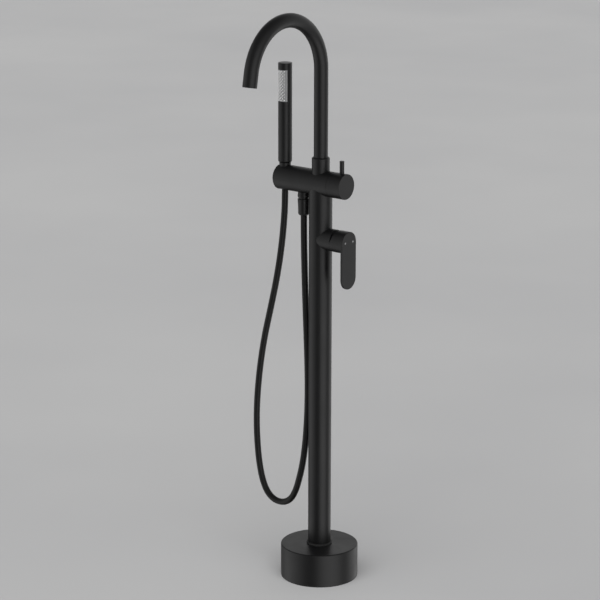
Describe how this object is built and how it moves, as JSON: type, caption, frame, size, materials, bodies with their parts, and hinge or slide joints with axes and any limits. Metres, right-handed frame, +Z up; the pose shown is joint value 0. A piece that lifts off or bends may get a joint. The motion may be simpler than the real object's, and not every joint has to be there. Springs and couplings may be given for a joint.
{
  "type": "floor standing bath filler",
  "caption": "Floor standing bath filler: round base, slim column, arched swivel spout, cross body with diverter knob, mixer lever and a hose-fed hand shower held upright in a cradle.",
  "frame": {"origin": "centre of the column on the floor, at the underside of the base", "axes": "+Z up along the column; the spout reaches towards -Y at rest; the lever and the diverter knob are at +X and the hand shower at -X"},
  "size_m": [0.2402, 0.294, 1.1139],
  "materials": {
    "black_finish": "satin black coating on brass and steel",
    "black_hose": "smooth black hose jacket, low gloss",
    "black_plastic": "black moulded plastic",
    "black_rubber": "soft black seal rubber",
    "brass": "machined brass, unplated inside",
    "zinc_steel": "zinc plated steel",
    "stainless": "stainless screws and pins",
    "cartridge_plastic": "pale moulded cartridge plastic",
    "ceramic": "lapped white ceramic",
    "spray_grey": "grey moulded spray face",
    "nozzle_grey": "soft grey nozzle rubber",
    "mark_grey": "small grey inlays"
  },
  "bodies": {
    "root": {"base_cover": "black_finish", "base_seal_ring": "black_rubber", "cartridge_cover_ring": "black_finish", "cartridge_nut": "brass", "cartridge_port_seals": "black_rubber", "cartridge_shell": "cartridge_plastic", "ceramic_disc_fixed": "ceramic", "cold_riser": "brass", "column_foot_seal": "black_rubber", "column_grub_screws": "stainless", "column_tube": "black_finish", "cradle_bush": "black_plastic", "cross_body": "black_finish", "diverter_cartridge": "cartridge_plastic", "diverter_nut": "brass", "floor_flange": "zinc_steel", "foot_block": "brass", "foot_block_screws": "stainless", "hose_check_valve": "cartridge_plastic", "hose_outlet_ferrule": "brass", "hose_outlet_nipple": "black_finish", "hose_outlet_nut": "black_finish", "hose_outlet_washer": "black_rubber", "hot_riser": "brass", "lever_housing": "black_finish", "mixed_riser": "brass", "shower_hose": "black_hose", "spout_collar": "black_finish", "spout_retaining_screw": "stainless", "valve_body": "brass"},
    "cartridge": {"cartridge_rotor": "cartridge_plastic", "spindle_pivot_pin": "stainless", "ceramic_disc_moving": "ceramic"},
    "lever": {"lever_spindle": "stainless", "lever_handle": "black_finish", "lever_grub_screw": "stainless", "temperature_marks": "mark_grey"},
    "spout": {"spout_tube": "black_finish", "spout_spigot": "brass", "spout_o_rings": "black_rubber", "aerator_housing": "black_plastic", "aerator_insert": "black_plastic"},
    "diverter": {"diverter_spindle": "brass", "diverter_knob": "black_finish", "diverter_pin": "black_finish", "diverter_grub_screw": "stainless"},
    "hose_end": {"hose_end_ferrule": "brass"},
    "handset": {"handset_body": "black_finish", "handset_coupling": "black_finish", "handset_washer": "black_rubber", "handset_top_cap": "black_finish", "handset_core": "black_plastic", "handset_waterway": "black_plastic", "spray_plate": "spray_grey", "spray_nozzles": "nozzle_grey"}
  },
  "joints": [
    {"name": "lever_temperature", "type": "hinge", "parent": "root", "child": "cartridge", "pos_m": [0.03, 0, 0.6774], "axis": [1, 0, 0], "range_deg": [-45, 45]},
    {"name": "lever_flow", "type": "hinge", "parent": "cartridge", "child": "lever", "pos_m": [0.03, 0, 0.6774], "axis": [0, -1, 0], "range_deg": [0, 20]},
    {"name": "spout_swivel", "type": "hinge", "parent": "root", "child": "spout", "pos_m": [0, 0, 0.815], "axis": [0, 0, 1], "range_deg": [-90, 90]},
    {"name": "diverter_turn", "type": "hinge", "parent": "root", "child": "diverter", "pos_m": [0.031, 0, 0.78375], "axis": [1, 0, 0], "range_deg": [0, 90]},
    {"name": "handset_lift", "type": "slide", "parent": "root", "child": "hose_end", "axis": [0, 0, 1], "range_m": [0, 0.05]},
    {"name": "handset_turn", "type": "hinge", "parent": "hose_end", "child": "handset", "pos_m": [-0.0865, 0, 0.79], "axis": [0, 0, 1], "continuous": true}
  ]
}
